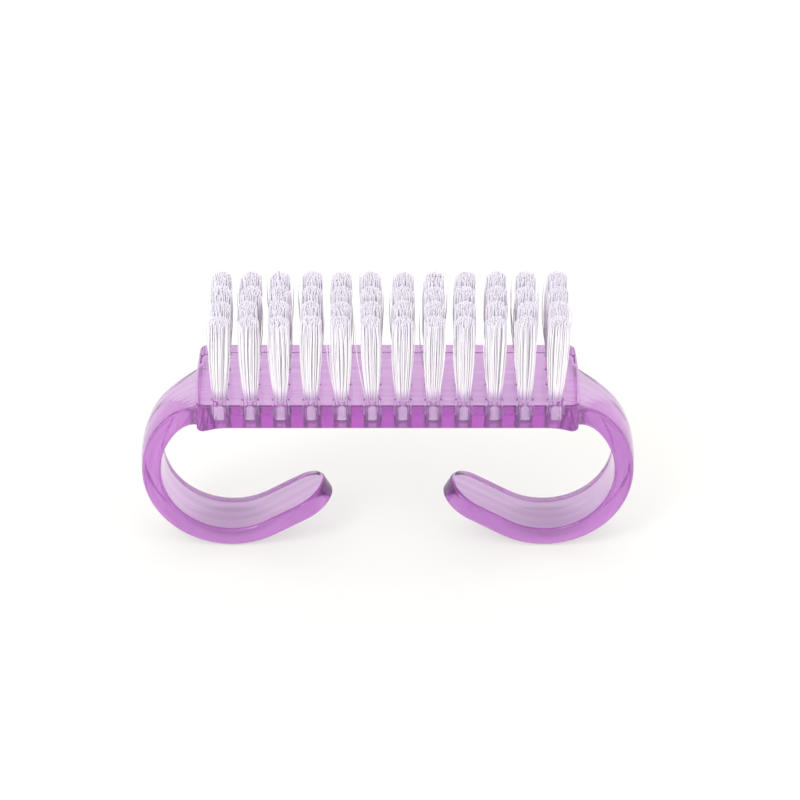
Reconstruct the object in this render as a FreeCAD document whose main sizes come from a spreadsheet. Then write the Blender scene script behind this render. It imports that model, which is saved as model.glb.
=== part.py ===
import FreeCAD, Part
import math
import os

import Sketcher

# Nail brush: a clear moulded block that carries four rows of bristle tufts, with a springy finger
# loop at each end. It stands on its two loops, bristles up: X runs along the block, Y across it,
# and Z rises from the surface that the loops stand on.

# Sizes in millimetres, angles in degrees and plain counts
SIZES = (
    ("column_count", 12, "tufts along the block"),
    ("row_count", 4, "rows of tufts across the block"),
    ("column_pitch", 4.0, "tuft spacing along the block"),
    ("row_pitch", 3.75, "tuft spacing across the block"),
    ("end_margin", 3.3, "last tuft to the end of the block"),
    ("side_margin", 2.125, "outer row to the side of the block"),
    ("block_height", 3.6, "underside to deck"),
    ("end_bow", 0.3, "swell of each end of the block, seen from above"),
    ("corner_radius", 1.2, "upright corners of the block"),
    ("deck_edge_radius", 0.3, "rounding of the deck's rim"),
    ("underside_edge_radius", 0.4, "rounding of the underside's rim"),
    ("hole_diameter", 2.0, "bore of a tuft hole"),
    ("hole_depth", 2.6, "depth of a tuft hole"),
    ("loop_inner_radius", 9.25, "inside of a finger loop"),
    ("loop_inset", 4.3, "loop centre, in from the end of the block"),
    ("band_thickness", 2.75, "wall of a loop at the middle of its band"),
    ("band_crown", 0.3, "swell of the band's outer face"),
    ("band_width", 8.0, "width of a loop's band"),
    ("band_edge_radius", 0.4, "rounding along the edges of the band"),
    ("hook_angle", 30.0, "rise of the straight hook that ends a loop"),
    ("hook_run", 5.0, "straight run of the hook, up to its round tip"),
    ("flare_reach_share", 0.83, "end of a loop's widened root, as a share of the loop's inside"),
    ("flare_spread", 2.4, "widening on each side where the root starts"),
    ("flare_embed", 0.6, "start of the root, inside the end of the block"),
    ("tuft_height", 12.4, "tuft above the deck"),
    ("tuft_end_diameter", 3.0, "tuft at its widest"),
    ("tuft_end_round", 0.9, "rounding of the trimmed end"),
    ("tuft_side_radius", 80.0, "curve of the tuft's side as it spreads"),
    ("tuft_clearance", 0.04, "tuft to the wall and floor of its hole"),
    ("strand_count", 8, "strands that part towards the end of a tuft"),
    ("strand_groove_radius", 0.3, "hollow of the groove between two strands"),
    ("strand_groove_depth", 0.4, "depth of that groove where the tuft is widest"),
    ("anchor_width", 2.3, "flat wire anchor across the hole"),
    ("anchor_height", 1.2, "flat wire anchor along the hole"),
    ("anchor_thickness", 0.3, "flat wire anchor"),
    ("anchor_lift", 0.6, "fold of the bristles under an anchor"),
    ("anchor_clearance", 0.02, "anchor to its groove and to the bristles"),
    ("cut_overrun", 1.0, "how far a cut runs past what it cuts"),
)

# A quarter of a full turn, in degrees
QUARTER_TURN = "90"
# Angle past which two faces count as meeting at an edge that can be rounded
EDGE_ANGLE = 30.0
# Two coordinates closer than this share of the block's height are the same place
SAME_PLACE_SHARE = 0.001

# Sizes that follow from others
BLOCK_HALF_LENGTH = "((Sizes.column_count - 1) * Sizes.column_pitch / 2 + Sizes.end_margin)"
BLOCK_HALF_DEPTH = "((Sizes.row_count - 1) * Sizes.row_pitch / 2 + Sizes.side_margin)"
LOOP_INNER = "Sizes.loop_inner_radius"
LOOP_OUTER = "(Sizes.loop_inner_radius + Sizes.band_thickness)"
LOOP_X = f"({BLOCK_HALF_LENGTH} - Sizes.loop_inset)"
LOOP_Z = LOOP_OUTER
UNDERSIDE = f"({LOOP_Z} + {LOOP_INNER})"
DECK = f"({UNDERSIDE} + Sizes.block_height)"
HOLE_FLOOR = f"({DECK} - Sizes.hole_depth)"
HOLE_RADIUS = "(Sizes.hole_diameter / 2)"
BAND_HALF_WIDTH = "(Sizes.band_width / 2)"
CROWN_RADIUS = f"(({BAND_HALF_WIDTH}^2 + Sizes.band_crown^2) / (2 * Sizes.band_crown))"
ROOT_X = f"({BLOCK_HALF_LENGTH} - Sizes.flare_embed)"
FLARE_X = f"({LOOP_X} + {LOOP_INNER} * Sizes.flare_reach_share)"
ROOT_HALF_WIDTH = f"({BAND_HALF_WIDTH} + Sizes.flare_spread)"
ANCHOR_BOTTOM = f"({HOLE_FLOOR} + Sizes.anchor_lift)"
ANCHOR_TOP = f"({ANCHOR_BOTTOM} + Sizes.anchor_height)"
FIRST_COLUMN = "(-(Sizes.column_count - 1) * Sizes.column_pitch / 2)"
FIRST_ROW = "(-(Sizes.row_count - 1) * Sizes.row_pitch / 2)"
PATTERN_LENGTH = "((Sizes.column_count - 1) * Sizes.column_pitch)"

doc = FreeCAD.newDocument("NailBrush")


def make_sheet():
    """Writes every driving size into the sheet under its own name."""
    sheet = doc.addObject("Spreadsheet::Sheet", "Sizes")
    for line, (alias, size, note) in enumerate(SIZES, start=1):
        sheet.set(f"A{line}", note)
        sheet.set(f"B{line}", str(size))
        sheet.setAlias(f"B{line}", alias)
    doc.recompute()
    return sheet


sheet = make_sheet()


def value(text):
    """The number that an expression in the sheet's names gives now."""
    return float(sheet.evalExpression(text))


def bind(thing, **texts):
    """Binds properties of an object to expressions."""
    for name, text in texts.items():
        thing.setExpression(name, text)


def bind_place(thing, path, x="0", y="0", z="0"):
    """Binds the three coordinates of a placement to expressions."""
    for axis, text in (("x", x), ("y", y), ("z", z)):
        thing.setExpression(f"{path}.Base.{axis}", text)


def origin_plane(body, role):
    """One of the body's own origin planes."""
    return next(item for item in body.Origin.OriginFeatures if item.Role == role)


def new_sketch(body, name, role):
    """An empty sketch on one of the body's origin planes."""
    sketch = body.newObject("Sketcher::SketchObject", name)
    sketch.AttachmentSupport = [(origin_plane(body, role), "")]
    sketch.MapMode = "FlatFace"
    return sketch


def constrain(sketch, text, kind, *where):
    """Adds one dimension to a sketch and binds it to an expression."""
    index = sketch.addConstraint(Sketcher.Constraint(kind, *where, value(text)))
    sketch.setExpression(f"Constraints[{index}]", text)


def pin_point(sketch, element, end, x, y):
    """Places one point of a sketch by its two distances from the sketch's origin."""
    for kind, text, axis in (("DistanceX", x, -2), ("DistanceY", y, -1)):
        if text == "0":
            sketch.addConstraint(Sketcher.Constraint("PointOnObject", element, end, axis))
        else:
            constrain(sketch, text, kind, -1, 1, element, end)


def arc_between(start, end, radius, left):
    """An arc under a half circle whose centre lies left or right of the way, and its end numbers."""
    chord = end - start
    reach = math.sqrt(max(radius**2 - (chord.Length / 2) ** 2, 0))
    side = FreeCAD.Vector(-chord.y, chord.x, 0).normalize()
    centre = start + chord / 2 + side * (reach if left else -reach)
    first, last = (start, end) if left else (end, start)
    angles = [math.atan2((p - centre).y, (p - centre).x) for p in (first, last)]
    circle = Part.Circle(centre, FreeCAD.Vector(0, 0, 1), radius)
    return Part.ArcOfCircle(circle, *angles), (1, 2) if left else (2, 1)


def draw_outline(sketch, points, arcs=None):
    """Draws a closed outline. arcs maps the number of a side to its radius and its turn."""
    arcs = arcs or {}
    places = [FreeCAD.Vector(value(x), value(y), 0) for x, y in points]
    sides = []
    for number, (x, y) in enumerate(points):
        start, end = places[number], places[(number + 1) % len(points)]
        ends = (1, 2)
        if number in arcs:
            radius, turn = arcs[number]
            curve, ends = arc_between(start, end, value(radius), turn == "left")
        else:
            curve = Part.LineSegment(start, end)
        sides.append((sketch.addGeometry(curve, False), *ends))
    for number, (x, y) in enumerate(points):
        element, start, end = sides[number]
        following, next_start, _ = sides[(number + 1) % len(points)]
        sketch.addConstraint(Sketcher.Constraint("Coincident", element, end, following, next_start))
        pin_point(sketch, element, start, x, y)
        if number in arcs:
            constrain(sketch, arcs[number][0], "Radius", element)


def draw_box(sketch, left, right, low, high):
    """Draws a closed rectangle."""
    draw_outline(sketch, [(left, low), (right, low), (right, high), (left, high)])


def draw_circle(sketch, x, y, radius):
    """Draws a full circle."""
    centre = FreeCAD.Vector(value(x), value(y), 0)
    circle = Part.Circle(centre, FreeCAD.Vector(0, 0, 1), value(radius))
    element = sketch.addGeometry(circle, False)
    pin_point(sketch, element, 3, x, y)
    constrain(sketch, radius, "Radius", element)


def extrude(body, kind, name, sketch, length, symmetric=False, turned=False):
    """Pads or pockets a sketch by a bound length and compares the volume before and after."""
    before = body.Shape.Volume if body.Tip and not body.Shape.isNull() else 0
    feature = body.newObject(f"PartDesign::{kind}", name)
    feature.Profile = sketch
    feature.SideType = "Symmetric" if symmetric else "One side"
    feature.Reversed = turned
    bind(feature, Length=length)
    doc.recompute()
    change = feature.Shape.Volume - before
    if change * (1 if kind == "Pad" else -1) <= 0:
        raise RuntimeError(f"{name} changes nothing")
    return feature


def revolve(body, name, sketch, axis, angle, turned=False):
    """Turns a sketch about one of its own axes by a bound angle."""
    feature = body.newObject("PartDesign::Revolution", name)
    feature.Profile = sketch
    feature.ReferenceAxis = (sketch, [axis])
    feature.Reversed = turned
    bind(feature, Angle=angle)
    doc.recompute()
    return feature


def repeat_along(body, name, feature, sketch):
    """Repeats a cut in every column along the block."""
    before = feature.Shape.Volume
    pattern = body.newObject("PartDesign::LinearPattern", name)
    pattern.Originals = [feature]
    pattern.Direction = (sketch, ["H_Axis"])
    bind(pattern, Length=PATTERN_LENGTH, Occurrences="Sizes.column_count")
    body.Tip = pattern
    doc.recompute()
    if pattern.Shape.Volume >= before:
        raise RuntimeError(f"{name} cuts nothing")
    return pattern


def sharp_edges(shape, wanted):
    """Names of the edges where two faces meet at an angle and the wanted test holds."""
    names = []
    for number, edge in enumerate(shape.Edges, start=1):
        middle = edge.valueAt((edge.FirstParameter + edge.LastParameter) / 2)
        faces = shape.ancestorsOfType(edge, Part.Face)
        if len(faces) != 2 or not wanted(edge, middle):
            continue
        normals = [face.normalAt(*face.Surface.parameter(middle)) for face in faces]
        if math.degrees(normals[0].getAngle(normals[1])) > EDGE_ANGLE:
            names.append(f"Edge{number}")
    return names


def round_edges(body, name, radius, wanted):
    """Rounds the edges that the test picks."""
    base = body.Tip
    names = sharp_edges(base.Shape, wanted)
    if not names:
        raise RuntimeError(f"{name} finds no edge")
    fillet = body.newObject("PartDesign::Fillet", name)
    fillet.Base = (base, names)
    bind(fillet, Radius=radius)
    doc.recompute()
    return fillet


def near(one, other):
    """True where two coordinates are the same place."""
    return abs(one - other) < value("Sizes.block_height") * SAME_PLACE_SHARE


def upright(edge):
    """True for an edge that runs along Z."""
    ends = [vertex.Point for vertex in edge.Vertexes]
    return len(ends) == 2 and near(ends[0].x, ends[1].x) and near(ends[0].y, ends[1].y)


def make_block():
    """The bristle block: bowed ends, an underside that turns down into the loops, and the tuft holes."""
    body = doc.addObject("PartDesign::Body", "BlockForm")
    end_drop = f"({LOOP_Z} + sqrt({LOOP_INNER}^2 - Sizes.loop_inset^2))"
    side = new_sketch(body, "BlockSide", "XZ_Plane")
    draw_outline(
        side,
        [
            (f"-{LOOP_X}", UNDERSIDE),
            (LOOP_X, UNDERSIDE),
            (BLOCK_HALF_LENGTH, end_drop),
            (BLOCK_HALF_LENGTH, DECK),
            (f"-{BLOCK_HALF_LENGTH}", DECK),
            (f"-{BLOCK_HALF_LENGTH}", end_drop),
        ],
        {1: (LOOP_INNER, "right"), 5: (LOOP_INNER, "right")},
    )
    extrude(body, "Pad", "BlockPad", side, f"2 * {BLOCK_HALF_DEPTH}", symmetric=True)

    corner_x = f"({BLOCK_HALF_LENGTH} - Sizes.end_bow)"
    bow_radius = f"(({BLOCK_HALF_DEPTH}^2 + Sizes.end_bow^2) / (2 * Sizes.end_bow))"
    past_x = f"({BLOCK_HALF_LENGTH} + Sizes.cut_overrun)"
    past_y = f"({BLOCK_HALF_DEPTH} + Sizes.cut_overrun)"
    plan = new_sketch(body, "BlockPlan", "XY_Plane")
    draw_box(plan, f"-{past_x}", past_x, f"-{past_y}", past_y)
    draw_outline(
        plan,
        [
            (f"-{corner_x}", f"-{BLOCK_HALF_DEPTH}"),
            (corner_x, f"-{BLOCK_HALF_DEPTH}"),
            (corner_x, BLOCK_HALF_DEPTH),
            (f"-{corner_x}", BLOCK_HALF_DEPTH),
        ],
        {1: (bow_radius, "left"), 3: (bow_radius, "left")},
    )
    extrude(body, "Pocket", "BlockEnds", plan, f"{DECK} + Sizes.cut_overrun", turned=True)

    deck, middle_z = value(DECK), value(f"{DECK} - Sizes.block_height / 2")
    round_edges(body, "BlockCorners", "Sizes.corner_radius", lambda edge, middle: upright(edge))
    round_edges(
        body, "DeckRim", "Sizes.deck_edge_radius", lambda edge, middle: near(middle.z, deck)
    )
    round_edges(
        body,
        "UndersideRim",
        "Sizes.underside_edge_radius",
        lambda edge, middle: middle.z < middle_z and not upright(edge),
    )
    cut_holes(body)
    return body


def cut_holes(body):
    """The blind tuft holes, and the groove that each anchor bites into the wall of its hole."""
    holes = new_sketch(body, "HoleColumn", "XY_Plane")
    bind_place(holes, ".AttachmentOffset", z=DECK)
    grooves = new_sketch(body, "GrooveColumn", "XY_Plane")
    bind_place(grooves, ".AttachmentOffset", z=f"{ANCHOR_TOP} + Sizes.anchor_clearance")
    half_width = "(Sizes.anchor_width / 2 + Sizes.anchor_clearance)"
    half_thickness = "(Sizes.anchor_thickness / 2 + Sizes.anchor_clearance)"
    for row in range(round(value("Sizes.row_count"))):
        y = f"({FIRST_ROW} + {row} * Sizes.row_pitch)"
        draw_circle(holes, FIRST_COLUMN, y, HOLE_RADIUS)
        draw_box(
            grooves,
            f"({FIRST_COLUMN} - {half_width})",
            f"({FIRST_COLUMN} + {half_width})",
            f"({y} - {half_thickness})",
            f"({y} + {half_thickness})",
        )
    cut = extrude(body, "Pocket", "HoleCut", holes, "Sizes.hole_depth")
    repeat_along(body, "HolePattern", cut, holes)
    groove_depth = "Sizes.anchor_height + 2 * Sizes.anchor_clearance"
    cut = extrude(body, "Pocket", "GrooveCut", grooves, groove_depth)
    repeat_along(body, "GroovePattern", cut, grooves)


def loop_sketch(body, name, turn="0", run_x="0", run_z="0"):
    """A sketch square to the band: X points away from the loop's centre and Y runs across the band."""
    sketch = new_sketch(body, name, "XY_Plane")
    spin = FreeCAD.Rotation(FreeCAD.Vector(0, 1, 0), value(turn))
    sketch.AttachmentOffset = FreeCAD.Placement(FreeCAD.Vector(), spin)
    bind_place(sketch, ".AttachmentOffset", x=f"{LOOP_X} - {run_x}", z=f"{LOOP_Z} + {run_z}")
    sketch.setExpression(".AttachmentOffset.Rotation.Angle", turn)
    return sketch


def crowned(half_width):
    """How far the crowned outer face lies from the loop's centre, at a distance from its middle."""
    return f"({LOOP_OUTER} - {CROWN_RADIUS} + sqrt({CROWN_RADIUS}^2 - {half_width}^2))"


def draw_band(sketch, half_width):
    """Draws the band's section: flat inside and at the sides, crowned outside."""
    edge = crowned(half_width)
    draw_outline(
        sketch,
        [
            (LOOP_INNER, f"-{half_width}"),
            (edge, f"-{half_width}"),
            (edge, half_width),
            (LOOP_INNER, half_width),
        ],
        {1: (CROWN_RADIUS, "left")},
    )


def make_loop():
    """The +X finger loop: its widened root, a round band and a straight hook with a round tip."""
    body = doc.addObject("PartDesign::Body", "LoopForm")
    root = loop_sketch(body, "RootSection")
    draw_band(root, f"({ROOT_HALF_WIDTH} + Sizes.cut_overrun)")
    revolve(body, "RootBend", root, "V_Axis", QUARTER_TURN, turned=True)
    trim_root(body)

    bend_turn = f"({QUARTER_TURN} + Sizes.hook_angle)"
    band = loop_sketch(body, "BandSection")
    draw_band(band, BAND_HALF_WIDTH)
    revolve(body, "BandBend", band, "V_Axis", bend_turn)

    hook = loop_sketch(body, "HookSection", bend_turn)
    draw_band(hook, BAND_HALF_WIDTH)
    extrude(body, "Pad", "HookPad", hook, "Sizes.hook_run", turned=True)

    run_x = "Sizes.hook_run * cos(Sizes.hook_angle)"
    run_z = "Sizes.hook_run * sin(Sizes.hook_angle)"
    tip = loop_sketch(body, "TipSection", bend_turn, run_x, run_z)
    draw_outline(
        tip,
        [
            (LOOP_INNER, "0"),
            (LOOP_OUTER, "0"),
            (crowned(BAND_HALF_WIDTH), BAND_HALF_WIDTH),
            (LOOP_INNER, BAND_HALF_WIDTH),
        ],
        {1: (CROWN_RADIUS, "left")},
    )
    revolve(body, "TipTurn", tip, "H_Axis", f"2 * {QUARTER_TURN}", turned=True)

    root_x = value(ROOT_X)
    round_edges(
        body,
        "BandEdges",
        "Sizes.band_edge_radius",
        lambda edge, middle: not near(middle.x, root_x),
    )
    return body


def trim_root(body):
    """Trims the root, seen from above, to a waist that narrows to the band's own width."""
    flare_run = f"({FLARE_X} - {ROOT_X})"
    flare_radius = f"(({flare_run}^2 + Sizes.flare_spread^2) / (2 * Sizes.flare_spread))"
    before_x = f"({LOOP_X} - Sizes.cut_overrun)"
    past_x = f"({LOOP_X} + {LOOP_OUTER} + Sizes.cut_overrun)"
    past_y = f"({ROOT_HALF_WIDTH} + 2 * Sizes.cut_overrun)"
    plan = new_sketch(body, "RootPlan", "XY_Plane")
    draw_outline(
        plan,
        [
            (before_x, f"-{past_y}"),
            (past_x, f"-{past_y}"),
            (past_x, f"-{BAND_HALF_WIDTH}"),
            (FLARE_X, f"-{BAND_HALF_WIDTH}"),
            (ROOT_X, f"-{ROOT_HALF_WIDTH}"),
            (ROOT_X, ROOT_HALF_WIDTH),
            (FLARE_X, BAND_HALF_WIDTH),
            (past_x, BAND_HALF_WIDTH),
            (past_x, past_y),
            (before_x, past_y),
        ],
        {3: (flare_radius, "left"), 5: (flare_radius, "left")},
    )
    extrude(body, "Pocket", "RootTrim", plan, f"{DECK} + Sizes.cut_overrun", turned=True)


def make_handle():
    """The one-piece moulding: the block with a loop at each end."""
    block = make_block()
    loop = make_loop()
    mirrored = doc.addObject("Part::Mirroring", "LoopFormMirrored")
    mirrored.Source = loop
    mirrored.Normal = FreeCAD.Vector(1, 0, 0)
    handle = doc.addObject("Part::MultiFuse", "HandleMoulding")
    handle.Shapes = [block, loop, mirrored]
    # The seams where the loops run into the block stay, and the solid is sound at every loop size
    handle.Refine = False
    handle.Label = "handle_moulding"
    return handle


def part_strands(body, end_radius, top):
    """Parts a tuft into strands: upright grooves that run out as the tuft narrows to its root."""
    grooves = new_sketch(body, "StrandGrooves", "XY_Plane")
    bind_place(grooves, ".AttachmentOffset", z=top)
    reach = f"({end_radius} - Sizes.strand_groove_depth + Sizes.strand_groove_radius)"
    for strand in range(round(value("Sizes.strand_count"))):
        turn = f"((2 * {strand} + 1) * 2 * {QUARTER_TURN} / Sizes.strand_count)"
        draw_circle(
            grooves,
            f"({reach} * cos({turn}))",
            f"({reach} * sin({turn}))",
            "Sizes.strand_groove_radius",
        )
    extrude(body, "Pocket", "StrandCut", grooves, "Sizes.tuft_height")


def make_tuft(label, x, y):
    """One tuft of bristles: a tight root in its hole, strands that spread and a rounded trim."""
    body = doc.addObject("PartDesign::Body", "Tuft")
    body.Label = label
    root_radius = f"({HOLE_RADIUS} - Sizes.tuft_clearance)"
    end_radius = "(Sizes.tuft_end_diameter / 2)"
    bottom = f"({HOLE_FLOOR} + Sizes.tuft_clearance)"
    top = f"({DECK} + Sizes.tuft_height)"
    profile = new_sketch(body, "TuftProfile", "XZ_Plane")
    draw_outline(
        profile,
        [
            ("0", bottom),
            (root_radius, bottom),
            (root_radius, DECK),
            (end_radius, f"({top} - Sizes.tuft_end_round)"),
            (f"({end_radius} - Sizes.tuft_end_round)", top),
            ("0", top),
        ],
        {2: ("Sizes.tuft_side_radius", "left"), 3: ("Sizes.tuft_end_round", "left")},
    )
    revolve(body, "TuftTurned", profile, "V_Axis", f"4 * {QUARTER_TURN}")

    slot = new_sketch(body, "AnchorSlot", "YZ_Plane")
    half = "(Sizes.anchor_thickness / 2 + Sizes.anchor_clearance)"
    draw_box(
        slot,
        f"-{half}",
        half,
        f"({ANCHOR_BOTTOM} - Sizes.anchor_clearance)",
        f"({ANCHOR_TOP} + Sizes.anchor_clearance)",
    )
    slot_length = "Sizes.anchor_width + 2 * Sizes.cut_overrun"
    extrude(body, "Pocket", "AnchorSlotCut", slot, slot_length, symmetric=True)
    part_strands(body, end_radius, top)
    bind_place(body, ".Placement", x=x, y=y)
    return body


def make_anchor(x, y):
    """One anchor, a chip of flat wire driven across the fold of its tuft."""
    anchor = doc.addObject("Part::Box", "Anchor")
    bind(
        anchor,
        Length="Sizes.anchor_width",
        Width="Sizes.anchor_thickness",
        Height="Sizes.anchor_height",
    )
    bind_place(
        anchor,
        ".Placement",
        x=f"{x} - Sizes.anchor_width / 2",
        y=f"{y} - Sizes.anchor_thickness / 2",
        z=ANCHOR_BOTTOM,
    )
    return anchor


def make_rows():
    """Every tuft, and each row's anchors as one group of separate chips."""
    pieces = []
    for row in range(round(value("Sizes.row_count"))):
        y = f"({FIRST_ROW} + {row} * Sizes.row_pitch)"
        anchors = []
        for column in range(round(value("Sizes.column_count"))):
            x = f"({FIRST_COLUMN} + {column} * Sizes.column_pitch)"
            pieces.append(make_tuft(f"tuft_row{row + 1}_col{column + 1:02d}", x, y))
            anchors.append(make_anchor(x, y))
        group = doc.addObject("Part::Compound", "AnchorRow")
        group.Label = f"anchors_row{row + 1}"
        group.Links = anchors
        pieces.append(group)
    return pieces


def check(pieces):
    """Stops on any object that failed and on any piece that isn't a sound solid."""
    for thing in doc.Objects:
        if {"Invalid", "Error"} & set(thing.State):
            raise RuntimeError(f"{thing.Label} failed: {thing.State}")
    for piece in pieces:
        shape = piece.Shape
        if shape.isNull() or not shape.isValid() or not shape.Solids:
            raise RuntimeError(f"{piece.Label} is not a sound solid")


def main():
    """Builds the brush, checks it and writes each piece to its own file."""
    pieces = [make_handle(), *make_rows()]
    doc.recompute()
    check(pieces)
    os.makedirs("parts", exist_ok=True)
    for piece in pieces:
        piece.Shape.exportStep(f"parts/{piece.Label}.step")
        print(piece.Label, len(piece.Shape.Solids), "solids", round(piece.Shape.Volume, 3), "mm3")


main()
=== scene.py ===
"""Dresses a clear purple nail brush: its glossy moulding, its nylon bristles and its anchors.

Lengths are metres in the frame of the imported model: X runs along the block, Y across it and away
from the viewer, and Z rises from the surface that the two finger loops stand on.
"""

import logging
import math
from dataclasses import dataclass, field
from enum import Enum

import bpy
import numpy as np
from mathutils import Euler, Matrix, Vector


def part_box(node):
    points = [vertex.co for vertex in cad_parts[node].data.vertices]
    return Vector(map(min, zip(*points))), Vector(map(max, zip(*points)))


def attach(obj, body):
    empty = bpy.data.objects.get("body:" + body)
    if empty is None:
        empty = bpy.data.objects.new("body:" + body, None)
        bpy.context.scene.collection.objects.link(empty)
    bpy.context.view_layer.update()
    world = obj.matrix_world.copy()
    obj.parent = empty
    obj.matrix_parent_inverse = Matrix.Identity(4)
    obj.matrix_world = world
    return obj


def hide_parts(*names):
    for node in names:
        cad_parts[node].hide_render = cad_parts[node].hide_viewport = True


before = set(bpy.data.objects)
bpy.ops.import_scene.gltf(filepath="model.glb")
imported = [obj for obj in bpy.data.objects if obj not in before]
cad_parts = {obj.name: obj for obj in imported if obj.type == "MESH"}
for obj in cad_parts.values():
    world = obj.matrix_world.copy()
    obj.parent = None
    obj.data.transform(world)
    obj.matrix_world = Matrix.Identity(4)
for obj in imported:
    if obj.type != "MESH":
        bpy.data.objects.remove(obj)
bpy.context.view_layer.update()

MM = 0.001
BODY = "root"
MOULDING_NODE = "handle_moulding"
ROWS = 4

Colour = tuple[float, float, float, float]
Triple = tuple[float, float, float]

log = logging.getLogger("nail_brush")


class Slot(Enum):
    """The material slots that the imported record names."""

    PLASTIC = "clear_purple_plastic"
    NYLON = "bristle_nylon"
    WIRE = "anchor_wire"


class NodeDesk:
    """A short way to place and join the nodes of one material, world or group."""

    MIX_INPUTS = (0, 6, 7)
    MIX_OUTPUT = 2

    def __init__(self, tree: bpy.types.NodeTree) -> None:
        """Keeps the tree that the nodes go into.

        Args:
            tree: the node tree of a material, world or group.
        """
        self.tree = tree

    def add(self, kind: str, **settings: object) -> bpy.types.Node:
        """Places a node and sets its properties.

        Args:
            kind: the node's type name, without the words that all shader nodes start with.
            settings: properties of the node by name.

        Returns:
            The new node.
        """
        node = self.tree.nodes.new(f"ShaderNode{kind}")
        for name, value in settings.items():
            setattr(node, name, value)
        return node

    def put(self, socket: bpy.types.NodeSocket, value: object) -> None:
        """Sets one input.

        Args:
            socket: the input.
            value: its value, or an output that is joined to it instead.
        """
        if isinstance(value, bpy.types.NodeSocket):
            self.join(value, socket)
        else:
            socket.default_value = value

    def fill(self, node: bpy.types.Node, **values: object) -> bpy.types.Node:
        """Sets inputs of a node, by socket name with an underscore for each space.

        Args:
            node: the node to set.
            values: values by socket name. A socket as a value is joined to the input instead.

        Returns:
            The same node.
        """
        for name, value in values.items():
            self.put(node.inputs[name.replace("_", " ")], value)
        return node

    def join(self, source: bpy.types.NodeSocket, target: bpy.types.NodeSocket) -> None:
        """Joins an output to an input.

        Args:
            source: the output.
            target: the input.
        """
        self.tree.links.new(source, target)

    def maths(self, operation: str, *terms: object) -> bpy.types.NodeSocket:
        """Places a Math node on numbers or sockets.

        Args:
            operation: the node's operation.
            terms: its inputs in order, as numbers or sockets.

        Returns:
            The result's socket.
        """
        node = self.add("Math", operation=operation)
        for socket, term in zip(node.inputs, terms):
            self.put(socket, term)
        return node.outputs[0]

    def mix(self, factor: object, first: object, second: object) -> bpy.types.NodeSocket:
        """Mixes two colours, through the sockets that a Mix node keeps for colours.

        Args:
            factor: share of the second colour, as a number or socket.
            first: colour or socket.
            second: colour or socket.

        Returns:
            The mixed colour's socket.
        """
        node = self.add("Mix", data_type="RGBA")
        for number, value in zip(self.MIX_INPUTS, (factor, first, second)):
            self.put(node.inputs[number], value)
        return node.outputs[self.MIX_OUTPUT]


def new_material(name: str) -> tuple[bpy.types.Material, NodeDesk, bpy.types.Node, bpy.types.Node]:
    """Makes an empty material with its output and one principled shader.

    Args:
        name: the material's name.

    Returns:
        The material, its desk, the shader and the output.
    """
    material = bpy.data.materials.new(name)
    material.use_nodes = True
    desk = NodeDesk(material.node_tree)
    desk.tree.nodes.clear()
    output = desk.add("OutputMaterial")
    shader = desk.add("BsdfPrincipled")
    desk.join(shader.outputs["BSDF"], output.inputs["Surface"])
    return material, desk, shader, output


class FlowGrain:
    """Drawn-out grain that moulding and drawing leave in a material, as a shader node group."""

    NAME = "flow_grain"
    NOISE_ROUGHNESS = 0.55
    MASK_RANGE = (0.3, 0.7)

    def __init__(self) -> None:
        """Builds the group once: stretched noise on object coordinates, as a mask from 0 to 1."""
        group = bpy.data.node_groups.new(self.NAME, "ShaderNodeTree")
        for label, kind in (("Stretch", "NodeSocketVector"), ("Detail", "NodeSocketFloat")):
            group.interface.new_socket(label, in_out="INPUT", socket_type=kind)
        group.interface.new_socket("Mask", in_out="OUTPUT", socket_type="NodeSocketFloat")
        desk = NodeDesk(group)
        inlet = group.nodes.new("NodeGroupInput")
        outlet = group.nodes.new("NodeGroupOutput")
        place = desk.add("TexCoord")
        stretched = desk.add("VectorMath", operation="MULTIPLY")
        desk.join(place.outputs["Object"], stretched.inputs[0])
        desk.join(inlet.outputs["Stretch"], stretched.inputs[1])
        noise = desk.add("TexNoise", noise_dimensions="3D")
        desk.fill(
            noise,
            Vector=stretched.outputs[0],
            Scale=1.0,
            Detail=inlet.outputs["Detail"],
            Roughness=self.NOISE_ROUGHNESS,
        )
        spread = desk.add("MapRange", interpolation_type="SMOOTHSTEP")
        low, high = self.MASK_RANGE
        desk.fill(spread, Value=noise.outputs["Fac"], From_Min=low, From_Max=high)
        desk.join(spread.outputs["Result"], outlet.inputs["Mask"])
        self.group = group

    def place(self, desk: NodeDesk, stretch: Triple, detail: float) -> bpy.types.NodeSocket:
        """Places the group in a material.

        Args:
            desk: the material's desk.
            stretch: grains per metre along X, Y and Z.
            detail: how many finer layers the noise has.

        Returns:
            The mask's socket.
        """
        node = desk.tree.nodes.new("ShaderNodeGroup")
        node.node_tree = self.group
        desk.fill(node, Stretch=stretch, Detail=detail)
        return node.outputs["Mask"]


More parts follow.
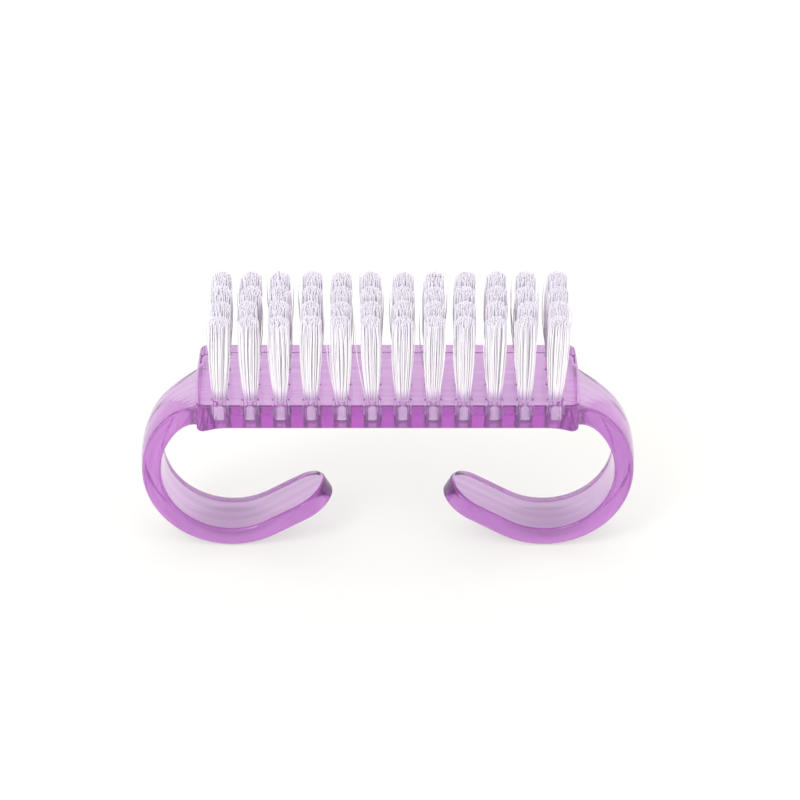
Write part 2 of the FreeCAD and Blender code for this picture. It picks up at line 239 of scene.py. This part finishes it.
@dataclass(frozen=True)
class ClearPlastic:
    """Clear tinted plastic: deeper in colour the further light runs in it, with flow lines that bump
    its surface and streak its colour, these lighter and darker streaks partly flow lines and partly
    painted reflection.
    """

    tint_pale: Colour = (0.86, 0.90, 0.92, 1.0)
    tint_deep: Colour = (0.69, 0.71, 0.78, 1.0)
    flow_and_reflection_share: float = 0.9
    depth_colour: Colour = (0.805, 0.0, 0.825, 1.0)
    depth_density: float = 155.0
    refraction: float = 1.49
    clearness: float = 0.95
    roughness: tuple[float, float] = (0.05, 0.11)
    clouds_per_metre: Triple = (160.0, 160.0, 160.0)
    cloud_detail: float = 3.0
    lines_per_metre: Triple = (45.0, 900.0, 45.0)
    line_detail: float = 2.0
    line_height: float = 0.04 * MM
    line_strength: float = 0.15
    loop_centre: tuple[float, float] = (21.0 * MM, 12.0 * MM)
    loop_top: float = 21.0 * MM
    loop_top_fade: float = 2.0 * MM
    loop_side: float = 3.9 * MM
    loop_side_fade: float = 0.3 * MM
    loop_scale: float = 1400.0
    loop_detail: float = 1.0
    loop_stretch: float = 0.04
    loop_range: tuple[float, float] = (0.35, 0.65)

    def loop_lines(self, desk: NodeDesk) -> bpy.types.NodeSocket:
        """Draws flow lines that follow each finger loop round on its flat sides, below the block;
        they bump the surface and also streak its colour, partly as painted reflection.

        Noise is read at (distance from the loop's axis, x, z), where x and z are shrunk by
        loop_stretch, so it changes fast across the band and its streaks run along the band.

        Args:
            desk: the material's desk.

        Returns:
            The mask's socket.
        """
        place = desk.add("SeparateXYZ")
        desk.join(desk.add("TexCoord").outputs["Object"], place.inputs[0])
        x, z = place.outputs["X"], place.outputs["Z"]
        sideways = desk.maths("SUBTRACT", desk.maths("ABSOLUTE", x), self.loop_centre[0])
        upwards = desk.maths("SUBTRACT", z, self.loop_centre[1])
        sideways_square = desk.maths("POWER", sideways, 2.0)
        upwards_square = desk.maths("POWER", upwards, 2.0)
        reach = desk.maths("SQRT", desk.maths("ADD", sideways_square, upwards_square))
        spot = desk.add("CombineXYZ")
        desk.fill(
            spot,
            X=reach,
            Y=desk.maths("MULTIPLY", x, self.loop_stretch),
            Z=desk.maths("MULTIPLY", z, self.loop_stretch),
        )
        noise = desk.add("TexNoise")
        desk.fill(noise, Vector=spot.outputs[0], Scale=self.loop_scale, Detail=self.loop_detail)
        streaks = desk.add("MapRange", interpolation_type="SMOOTHSTEP")
        low, high = self.loop_range
        desk.fill(streaks, Value=noise.outputs["Fac"], From_Min=low, From_Max=high)
        below = desk.add("MapRange")
        faded_top = self.loop_top - self.loop_top_fade
        desk.fill(below, Value=z, From_Min=self.loop_top, From_Max=faded_top)
        outer = desk.add("MapRange")
        across = desk.maths("ABSOLUTE", place.outputs["Y"])
        faded_side = self.loop_side - self.loop_side_fade
        desk.fill(outer, Value=across, From_Min=faded_side, From_Max=self.loop_side)
        share = desk.maths("MULTIPLY", below.outputs["Result"], outer.outputs["Result"])
        return desk.maths("MULTIPLY", streaks.outputs["Result"], share)

    def material(self, grain: FlowGrain) -> bpy.types.Material:
        """Builds the material.

        Args:
            grain: the shared grain group.

        Returns:
            The material.
        """
        material, desk, shader, output = new_material(Slot.PLASTIC.value)
        lines = grain.place(desk, self.lines_per_metre, self.line_detail)
        clouds = grain.place(desk, self.clouds_per_metre, self.cloud_detail)
        gloss = desk.add("MapRange")
        desk.fill(gloss, Value=clouds, To_Min=self.roughness[0], To_Max=self.roughness[1])
        bump = desk.add("Bump")
        height = desk.maths("ADD", lines, self.loop_lines(desk))
        desk.fill(bump, Strength=self.line_strength, Distance=self.line_height, Height=height)
        # colour streaks from the bump's height: partly flow lines, partly painted reflection along
        # the bands and the deck
        streaks = desk.maths("MULTIPLY", height, self.flow_and_reflection_share)
        desk.fill(
            shader,
            Base_Color=desk.mix(streaks, self.tint_pale, self.tint_deep),
            Roughness=gloss.outputs["Result"],
            Normal=bump.outputs["Normal"],
            IOR=self.refraction,
            Transmission_Weight=self.clearness,
        )
        depth = desk.add("VolumeAbsorption")
        desk.fill(depth, Color=self.depth_colour, Density=self.depth_density)
        desk.join(depth.outputs["Volume"], output.inputs["Volume"])
        return material


@dataclass(frozen=True)
class BristleNylon:
    """Milky white nylon filament, with painted lilac light from the purple plastic where it leaves
    the deck and a painted shade that greys its cut end.

    Below the deck the root has a painted glow, an emission that stands in for the light that nylon
    carries down its length into the hole.
    Heights are shares of the way from the anchor's lower edge to the top of the tuft.
    """

    deck_share: float = 0.139
    collar_half: float = 0.01
    foot_rise: float = 0.13
    shaft_span: tuple[float, float] = (0.5, 0.7)
    neck_height: float = 0.92
    painted_glow_fade: float = 0.03
    # root, collar and foot: painted lilac light from the purple plastic, strongest where the
    # bristles leave the deck
    root: Colour = (0.99, 0.95, 0.995, 1.0)
    painted_collar_light: Colour = (0.66, 0.42, 0.74, 1.0)
    painted_foot_light: Colour = (0.985, 0.93, 0.993, 1.0)
    shaft: Colour = (0.993, 0.96, 0.998, 1.0)
    # neck and trim: painted shade that greys the bristles towards the cut end
    painted_neck_shade: Colour = (0.93, 0.885, 0.965, 1.0)
    painted_trim_shade: Colour = (0.87, 0.83, 0.92, 1.0)
    # glow: painted glow of the roots in the hole, given by emission; unlit is where it has none
    glow: Colour = (0.24, 0.15, 0.22, 1.0)
    unlit: Colour = (0.0, 0.0, 0.0, 1.0)
    painted_glow_strength: float = 1.0
    shade: Colour = (0.96, 0.94, 0.98, 1.0)
    shade_share: float = 0.4
    roughness: tuple[float, float] = (0.25, 0.4)
    lines_per_metre: Triple = (2500.0, 2500.0, 160.0)
    line_detail: float = 1.0
    refraction: float = 1.53

    def material(self, grain: FlowGrain) -> bpy.types.Material:
        """Builds the material from the height and tone that each bristle carries.

        Args:
            grain: the shared grain group.

        Returns:
            The material.
        """
        material, desk, shader, _ = new_material(Slot.NYLON.value)
        height = desk.add("Attribute", attribute_name=BristleBundle.HEIGHT)
        tone = desk.add("Attribute", attribute_name=BristleBundle.TONE)
        ramp = desk.add("ValToRGB")
        desk.join(height.outputs["Fac"], ramp.inputs["Fac"])
        stops = ramp.color_ramp.elements
        collar_top = self.deck_share + self.collar_half
        stops[0].position, stops[0].color = self.deck_share - self.collar_half, self.root
        stops[1].position, stops[1].color = 1.0, self.painted_trim_shade
        # the ramp paints lilac light near the deck and shade towards the cut end
        for position, colour in (
            (collar_top, self.painted_collar_light),
            (self.deck_share + self.foot_rise, self.painted_foot_light),
            (self.shaft_span[0], self.shaft),
            (self.shaft_span[1], self.shaft),
            (self.neck_height, self.painted_neck_shade),
        ):
            stops.new(position).color = colour
        # share of the painted root glow: full below the deck less the fade, none above the collar's
        # top
        painted_glow_share = desk.add("MapRange")
        full_painted_glow = self.deck_share - self.painted_glow_fade
        desk.fill(painted_glow_share, Value=height.outputs["Fac"], From_Min=collar_top, From_Max=full_painted_glow)
        shaded = desk.maths("MULTIPLY", tone.outputs["Fac"], self.shade_share)
        drawn = grain.place(desk, self.lines_per_metre, self.line_detail)
        gloss = desk.add("MapRange")
        desk.fill(gloss, Value=drawn, To_Min=self.roughness[0], To_Max=self.roughness[1])
        desk.fill(
            shader,
            Base_Color=desk.mix(shaded, ramp.outputs["Color"], self.shade),
            Roughness=gloss.outputs["Result"],
            IOR=self.refraction,
            Emission_Color=desk.mix(painted_glow_share.outputs["Result"], self.unlit, self.glow),
            Emission_Strength=self.painted_glow_strength,
        )
        return material


@dataclass(frozen=True)
class AnchorWire:
    """Flat drawn steel wire with fine lines along it."""

    bright: Colour = (0.62, 0.62, 0.64, 1.0)
    dull: Colour = (0.42, 0.42, 0.45, 1.0)
    roughness: tuple[float, float] = (0.25, 0.5)
    lines_per_metre: Triple = (300.0, 9000.0, 9000.0)
    line_detail: float = 2.0

    def material(self, grain: FlowGrain) -> bpy.types.Material:
        """Builds the material.

        Args:
            grain: the shared grain group.

        Returns:
            The material.
        """
        material, desk, shader, _ = new_material(Slot.WIRE.value)
        lines = grain.place(desk, self.lines_per_metre, self.line_detail)
        gloss = desk.add("MapRange")
        desk.fill(gloss, Value=lines, To_Min=self.roughness[0], To_Max=self.roughness[1])
        desk.fill(
            shader,
            Base_Color=desk.mix(lines, self.bright, self.dull),
            Roughness=gloss.outputs["Result"],
            Metallic=1.0,
        )
        return material


def mesh_object(
    name: str,
    points: np.ndarray,
    faces: np.ndarray,
    material: bpy.types.Material,
    values: dict[str, np.ndarray] | None = None,
) -> bpy.types.Object:
    """Puts arrays of points and four-sided faces into a new smooth mesh.

    Args:
        name: name of the object and its mesh.
        points: (n, 3) coordinates.
        faces: (m, 4) numbers of the points of each face, anticlockwise from outside.
        material: what the whole mesh is made of.
        values: one number a point, by attribute name.

    Returns:
        The new object, linked into the scene.
    """
    mesh = bpy.data.meshes.new(name)
    mesh.vertices.add(len(points))
    mesh.vertices.foreach_set("co", points.astype(np.float32).ravel())
    mesh.loops.add(faces.size)
    mesh.loops.foreach_set("vertex_index", faces.astype(np.int32).ravel())
    mesh.polygons.add(len(faces))
    mesh.polygons.foreach_set("loop_start", np.arange(len(faces), dtype=np.int32) * faces.shape[1])
    mesh.polygons.foreach_set("use_smooth", np.ones(len(faces), dtype=bool))
    for label, numbers in (values or {}).items():
        attribute = mesh.attributes.new(label, "FLOAT", "POINT")
        attribute.data.foreach_set("value", numbers.astype(np.float32).ravel())
    mesh.update(calc_edges=True)
    mesh.materials.append(material)
    piece = bpy.data.objects.new(name, mesh)
    bpy.context.scene.collection.objects.link(piece)
    return piece


@dataclass(frozen=True)
class BristleBundle:
    """Shape of a tuft: bristles folded round an anchor, tight in the hole and swelling above it."""

    HEIGHT = "bristle_height"
    TONE = "bristle_tone"

    count: int = 60
    radius: float = 0.085 * MM
    sides: int = 4
    root_radius: float = 0.96 * MM
    root_sway: float = 0.04
    swell_radius: float = 1.5 * MM
    swell_turn: float = 0.62 * math.pi
    anchor_gap: float = 0.27 * MM
    fold_drop: float = 0.5 * MM
    fold_round: float = 0.9
    fold_corner: float = 0.2 * MM
    dome: float = 0.75 * MM
    uneven: float = 0.3 * MM
    wander: float = 0.09 * MM
    stray_share: float = 0.05
    stray_lean: float = 0.55 * MM
    above_deck: tuple[float, ...] = (0.0, 0.25, 0.5, 0.75, 1.0)

    def roots(self) -> np.ndarray:
        """Places the legs of the bristles on one side of the anchor.

        A sunflower spiral, r = R sqrt(i / n) turned by the golden angle each time, fills the round
        hole evenly. Its half with y > 0 is kept, and each point there is one folded bristle.

        Returns:
            (count, 2) places as shares of the root's radius.
        """
        number = 2 * self.count
        index = np.arange(number) + 0.5
        reach = np.sqrt(index / number)
        turn = index * math.pi * (3.0 - math.sqrt(5.0))
        places = np.stack([reach * np.cos(turn), reach * np.sin(turn)], axis=1)
        order = np.argsort(-places[:, 1])
        return places[order[: self.count]]

    def paths(
        self, bottom: float, deck: float, top: float, rng: np.random.Generator
    ) -> tuple[np.ndarray, np.ndarray]:
        """Works out the line of every bristle about the tuft's own axis.

        Each leg stands straight in the hole and then leans out by sin(turn * u) of its full
        spread, with u from 0 at the deck to 1 at its cut end. The cut ends lie on a dome that
        falls with the square of the distance from the axis, less a random drop. The two legs meet
        in a fold under the anchor.

        Args:
            bottom: height of the anchor's lower edge.
            deck: height of the deck.
            top: height of the tuft's highest bristle.
            rng: seeded random numbers.

        Returns:
            (count, points, 3) coordinates and (count, points) heights from 0 to 1.
        """
        share = self.roots()
        low = bottom - self.radius - self.fold_drop * share[:, 1]
        legs = []
        for side in (1.0, -1.0):
            sway = rng.normal(0.0, self.root_sway, share.shape)
            spot = share * (1.0, side) + sway
            spot /= np.maximum(np.linalg.norm(spot, axis=1, keepdims=True), 1.0)
            root = spot * (self.root_radius - self.radius)
            squeeze = 1.0 - self.anchor_gap / self.root_radius
            root[:, 1] = side * (self.anchor_gap + np.abs(root[:, 1]) * squeeze)
            tip = spot * (self.swell_radius - self.radius)
            stray = rng.random(len(share)) < self.stray_share
            tip += np.where(stray[:, None], spot * self.stray_lean, 0.0)
            bow = rng.normal(0.0, self.wander, share.shape)
            cut = top - self.dome * np.sum(spot**2, axis=1) - rng.random(len(share)) * self.uneven
            u = np.array(self.above_deck)
            swell = np.sin(self.swell_turn * u)[None, :, None]
            arch = np.sin(math.pi * u)[None, :, None]
            flat = root[:, None, :] + (tip - root)[:, None, :] * swell + bow[:, None, :] * arch
            rise = deck + (cut - deck)[:, None] * u[None, :]
            upper = np.concatenate([flat, rise[:, :, None]], axis=2)
            turned = root * (1.0, self.fold_round)
            corner = np.concatenate([turned, low[:, None] + self.fold_corner], axis=1)
            legs.append(np.concatenate([corner[:, None, :], upper], axis=1))
        first, second = legs
        fold = (first[:, :1] + second[:, :1]) / 2.0
        fold[:, 0, 2] = low
        lines = np.concatenate([first[:, ::-1], fold, second], axis=1)
        height = (lines[:, :, 2] - bottom) / (top - bottom)
        return lines, np.clip(height, 0.0, 1.0)

    def tubes(self, lines: np.ndarray) -> tuple[np.ndarray, np.ndarray]:
        """Carries a small regular section along every line.

        The section stands square to the line: one of its axes is the line's direction crossed
        with X, and the other is the direction crossed with the first.

        Args:
            lines: (count, points, 3) coordinates.

        Returns:
            (n, 3) points and (m, 4) faces, with both ends closed.
        """
        count, steps, _ = lines.shape
        along = np.gradient(lines, axis=1)
        along /= np.linalg.norm(along, axis=2, keepdims=True)
        across = np.cross(along, (1.0, 0.0, 0.0))
        across /= np.linalg.norm(across, axis=2, keepdims=True)
        other = np.cross(along, across)
        turn = (np.arange(self.sides) + 0.5) * math.tau / self.sides
        cosine, sine = np.cos(turn)[:, None], np.sin(turn)[:, None]
        ring = across[:, :, None, :] * cosine + other[:, :, None, :] * sine
        points = lines[:, :, None, :] + self.radius * ring
        number = np.arange(count * steps * self.sides).reshape(count, steps, self.sides)
        here, there = number[:, :-1], number[:, 1:]
        here_next, there_next = np.roll(here, -1, axis=2), np.roll(there, -1, axis=2)
        sleeve = np.stack([here, here_next, there_next, there], axis=-1)
        ends = np.concatenate([number[:, 0, ::-1], number[:, -1]], axis=0)
        return points.reshape(-1, 3), np.concatenate([sleeve.reshape(-1, 4), ends], axis=0)


@dataclass
class Tuft:
    """One tuft of the brush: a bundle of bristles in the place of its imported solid."""

    SEED_STEP = 100
    LEAN_POWER = 1.5

    row: int
    column: int
    lean: tuple[float, float]
    shape: BristleBundle = field(default_factory=BristleBundle)

    @property
    def node(self) -> str:
        """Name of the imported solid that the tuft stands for."""
        return f"tuft_row{self.row}_col{self.column:02d}"

    def build(
        self, deck: float, anchor_bottom: float, material: bpy.types.Material
    ) -> bpy.types.Object:
        """Makes the bundle, which leans as a whole.

        It leans by h to the power 1.5, with h from 0 at the deck to 1 at the top of the tuft.

        Args:
            deck: height of the deck.
            anchor_bottom: height of the anchor's lower edge.
            material: the nylon.

        Returns:
            The new piece.
        """
        low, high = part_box(self.node)
        rng = np.random.default_rng(self.row * self.SEED_STEP + self.column)
        lines, height = self.shape.paths(anchor_bottom, deck, high.z, rng)
        raised = np.clip((lines[:, :, 2] - deck) / (high.z - deck), 0.0, None)
        lines[:, :, :2] += np.array(self.lean) * raised[:, :, None] ** self.LEAN_POWER
        points, faces = self.shape.tubes(lines)
        points += ((low.x + high.x) / 2.0, (low.y + high.y) / 2.0, 0.0)
        tone = np.repeat(rng.random(len(lines)), lines.shape[1] * self.shape.sides)
        values = {
            BristleBundle.HEIGHT: np.repeat(height.ravel(), self.shape.sides),
            BristleBundle.TONE: tone,
        }
        name = f"bristles_row{self.row}_col{self.column:02d}"
        piece = mesh_object(name, points, faces, material, values)
        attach(piece, BODY)
        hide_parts(self.node)
        return piece


@dataclass
class TuftField:
    """All the tufts: straight rows across the block, each column with a lean of its own."""

    SEED = 7

    rows: int = ROWS
    column_lean: tuple[float, ...] = (
        0.25, 0.0, -0.1, 0.15, 0.0, -0.3, 0.1, 0.2, 0.2, 0.35, 0.25, 0.45,
    )
    sway: float = 0.10 * MM

    def build(self, material: bpy.types.Material) -> list[bpy.types.Object]:
        """Makes every tuft.

        Args:
            material: the nylon.

        Returns:
            The new pieces.
        """
        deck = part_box(MOULDING_NODE)[1].z
        rng = np.random.default_rng(self.SEED)
        pieces = []
        for row in range(1, self.rows + 1):
            anchor_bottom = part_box(f"anchors_row{row}")[0].z
            for column, lean in enumerate(self.column_lean, start=1):
                sway = rng.normal(0.0, self.sway, 2)
                tuft = Tuft(row, column, (lean * MM + sway[0], sway[1]))
                pieces.append(tuft.build(deck, anchor_bottom, material))
        log.info("bristles: %d tufts of %d bristles", len(pieces), BristleBundle.count)
        return pieces


@dataclass
class Moulding:
    """The one-piece moulding of the block and its two finger loops, with an even polish."""

    finish: ClearPlastic = field(default_factory=ClearPlastic)
    even: float = 0.8

    def build(self, grain: FlowGrain) -> bpy.types.Object:
        """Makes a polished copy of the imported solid.

        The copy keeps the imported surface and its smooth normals. Where a corner's normal n and its
        face's normal f disagree, n . f < even, as at the middle of a round tip, n becomes f, so
        that clear plastic shows no dark speck there.

        Args:
            grain: the shared grain group.

        Returns:
            The new piece.
        """
        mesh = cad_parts[MOULDING_NODE].data.copy()
        corners = np.empty(len(mesh.loops) * 3, dtype=np.float32)
        mesh.corner_normals.foreach_get("vector", corners)
        corners = corners.reshape(-1, 3)
        faces = np.empty(len(mesh.polygons) * 3, dtype=np.float32)
        mesh.polygons.foreach_get("normal", faces)
        sides = np.empty(len(mesh.polygons), dtype=np.int32)
        mesh.polygons.foreach_get("loop_total", sides)
        flat = np.repeat(faces.reshape(-1, 3), sides, axis=0)
        odd = np.sum(corners * flat, axis=1) < self.even
        corners[odd] = flat[odd]
        mesh.normals_split_custom_set(corners.tolist())
        mesh.materials.clear()
        mesh.materials.append(self.finish.material(grain))
        piece = bpy.data.objects.new("moulding", mesh)
        bpy.context.scene.collection.objects.link(piece)
        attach(piece, BODY)
        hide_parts(MOULDING_NODE)
        log.info("moulding: %d corners evened", int(odd.sum()))
        return piece


@dataclass
class Anchors:
    """The flat wire chips that hold the folds of the bristles in the block."""

    rows: int = ROWS
    finish: AnchorWire = field(default_factory=AnchorWire)

    def dress(self, grain: FlowGrain) -> None:
        """Gives each row of packed chips its drawn steel.

        Args:
            grain: the shared grain group.
        """
        material = self.finish.material(grain)
        for row in range(1, self.rows + 1):
            dress_node(f"anchors_row{row}", material)
        log.info("anchors: %d rows", self.rows)


def dress_node(node: str, material: bpy.types.Material) -> None:
    """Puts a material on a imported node's own slots.

    Args:
        node: the node's name.
        material: what it is made of.
    """
    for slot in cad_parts[node].material_slots:
        slot.material = material


@dataclass(frozen=True)
class AreaLamp:
    """A square soft box that faces the brush."""

    name: str
    place: Triple
    size: float
    power: float
    glints: bool = False
    colour: Triple = (1.0, 1.0, 1.0)

    def build(self, aim: Vector) -> bpy.types.Object:
        """Hangs the lamp and turns it to a point.

        Args:
            aim: the point that the lamp faces.

        Returns:
            The lamp.
        """
        light = bpy.data.lights.new(self.name, "AREA")
        light.size, light.energy, light.color = self.size, self.power, self.colour
        lamp = bpy.data.objects.new(self.name, light)
        lamp.location = self.place
        lamp.visible_transmission = False
        lamp.visible_glossy = self.glints
        lamp.rotation_euler = (aim - Vector(self.place)).to_track_quat("-Z", "Y").to_euler()
        bpy.context.scene.collection.objects.link(lamp)
        return lamp


@dataclass
class Studio:
    """A pale floor in soft white light, and the camera of the picture."""

    frame_pixels: float = 800.0
    focal_pixels: float = 3830.0
    sensor: float = 36.0
    elevation: float = 32.5
    distance: float = 0.5
    aim: Triple = (0.0, -7.75 * MM, 24.85 * MM)
    aim_pixel: tuple[float, float] = (387.5, 406.2)
    floor_half: float = 1.5
    backdrop: Colour = (0.991, 0.982, 0.947, 1.0)
    floor_colour: Colour = (0.95, 0.945, 0.92, 1.0)
    floor_glow: float = 0.5
    floor_grain: tuple[float, float] = (40.0, 2.0)
    floor_roughness: tuple[float, float] = (0.85, 0.95)
    sky_colour: Colour = (1.0, 1.0, 1.0, 1.0)
    sky_strength: float = 1.0
    ceiling: float = 0.55
    ceiling_rise: tuple[float, float] = (0.35, 0.85)
    clip: tuple[float, float] = (0.01, 20.0)
    bounces: int = 32
    lamps: tuple[AreaLamp, ...] = (
        AreaLamp("key_lamp", (-0.45, -0.55, 0.75), 0.4, 2.8, True),
        AreaLamp("fill_lamp", (0.6, -0.35, 0.5), 0.6, 0.8),
        AreaLamp("back_lamp", (0.0, 0.9, 0.65), 1.0, 1.0),
    )

    def build(self) -> None:
        """Builds the floor, the light and the camera."""
        self.build_floor()
        self.build_sky()
        for lamp in self.lamps:
            lamp.build(Vector(self.aim))
        self.build_camera()
        paths = bpy.context.scene.cycles
        paths.max_bounces = paths.glossy_bounces = paths.transmission_bounces = self.bounces
        paths.diffuse_bounces = self.bounces // 2
        log.info("studio: floor, %d lamps, camera", len(self.lamps))

    def seen_directly(self, desk: NodeDesk) -> bpy.types.NodeSocket:
        """Share that is 1 for what is seen straight, in a gloss or through clear plastic.

        Args:
            desk: the desk of a material or world.

        Returns:
            The share's socket.
        """
        path = desk.add("LightPath")
        camera, gloss = path.outputs["Is Camera Ray"], path.outputs["Is Glossy Ray"]
        through = path.outputs["Is Transmission Ray"]
        return desk.maths("MAXIMUM", desk.maths("MAXIMUM", camera, gloss), through)

    def build_floor(self) -> None:
        """Lays a flat grid of four faces whose colour partly glows, so that a soft shadow stays."""
        material, desk, shader, output = new_material("studio_floor")
        grain = desk.add("TexNoise")
        desk.fill(grain, Scale=self.floor_grain[0], Detail=self.floor_grain[1])
        tone = desk.add("MapRange")
        low, high = self.floor_roughness
        desk.fill(tone, Value=grain.outputs["Fac"], To_Min=low, To_Max=high)
        desk.fill(
            shader,
            Base_Color=self.floor_colour,
            Roughness=tone.outputs["Result"],
            Specular_IOR_Level=0.0,
        )
        glow = desk.add("Emission")
        desk.fill(glow, Color=self.backdrop, Strength=1.0)
        blend = desk.add("MixShader")
        share = desk.maths("MULTIPLY", self.seen_directly(desk), self.floor_glow)
        desk.join(share, blend.inputs[0])
        desk.join(shader.outputs["BSDF"], blend.inputs[1])
        desk.join(glow.outputs["Emission"], blend.inputs[2])
        desk.join(blend.outputs["Shader"], output.inputs["Surface"])
        line = np.linspace(-self.floor_half, self.floor_half, 3)
        x, y = np.meshgrid(line, line)
        points = np.stack([x.ravel(), y.ravel(), np.zeros(x.size)], axis=1)
        number = np.arange(x.size).reshape(x.shape)
        corners = [number[:-1, :-1], number[:-1, 1:], number[1:, 1:], number[1:, :-1]]
        faces = np.stack(corners, axis=-1)
        mesh_object("studio_floor", points, faces.reshape(-1, 4), material)

    def build_sky(self) -> None:
        """Surrounds the brush with even light, and with the backdrop's white where it is seen."""
        world = bpy.data.worlds.new("studio_sky")
        world.use_nodes = True
        bpy.context.scene.world = world
        desk = NodeDesk(world.node_tree)
        desk.tree.nodes.clear()
        output = desk.add("OutputWorld")
        light = desk.add("Background")
        desk.fill(light, Color=self.sky_colour, Strength=self.sky_strength)
        way = desk.add("SeparateXYZ")
        desk.join(desk.add("TexCoord").outputs["Generated"], way.inputs[0])
        dim = desk.add("MapRange", interpolation_type="SMOOTHSTEP")
        low, high = self.ceiling_rise
        desk.fill(dim, Value=way.outputs["Z"], From_Min=low, From_Max=high)
        desk.fill(dim, To_Min=1.0, To_Max=self.ceiling)
        white = desk.add("Background")
        desk.fill(white, Color=self.backdrop, Strength=dim.outputs["Result"])
        blend = desk.add("MixShader")
        desk.join(self.seen_directly(desk), blend.inputs[0])
        desk.join(light.outputs["Background"], blend.inputs[1])
        desk.join(white.outputs["Background"], blend.inputs[2])
        desk.join(blend.outputs["Shader"], output.inputs["Surface"])

    def build_camera(self) -> None:
        """Stands the camera so that the aim point falls on its pixel, with no shift."""
        lens = bpy.data.cameras.new("camera")
        lens.sensor_width = self.sensor
        lens.lens = self.focal_pixels / self.frame_pixels * self.sensor
        lens.clip_start, lens.clip_end = self.clip
        camera = bpy.data.objects.new("camera", lens)
        turn = Euler((math.radians(90.0 - self.elevation), 0.0, 0.0)).to_matrix()
        middle = self.frame_pixels / 2.0
        per_pixel = self.distance / self.focal_pixels
        right, up = middle - self.aim_pixel[0], self.aim_pixel[1] - middle
        offset = Vector((right, up, 0.0)) * per_pixel
        offset.z = self.distance
        camera.location = Vector(self.aim) + turn @ offset
        camera.rotation_euler = turn.to_euler()
        bpy.context.scene.collection.objects.link(camera)
        bpy.context.scene.camera = camera


def main() -> None:
    """Builds the brush's looks and the studio round it."""
    logging.basicConfig(level=logging.INFO, format="%(name)s: %(message)s")
    bpy.context.scene.view_settings.view_transform = "Standard"
    grain = FlowGrain()
    Moulding().build(grain)
    Anchors().dress(grain)
    TuftField().build(BristleNylon().material(grain))
    Studio().build()


if __name__ == "__main__":
    main()
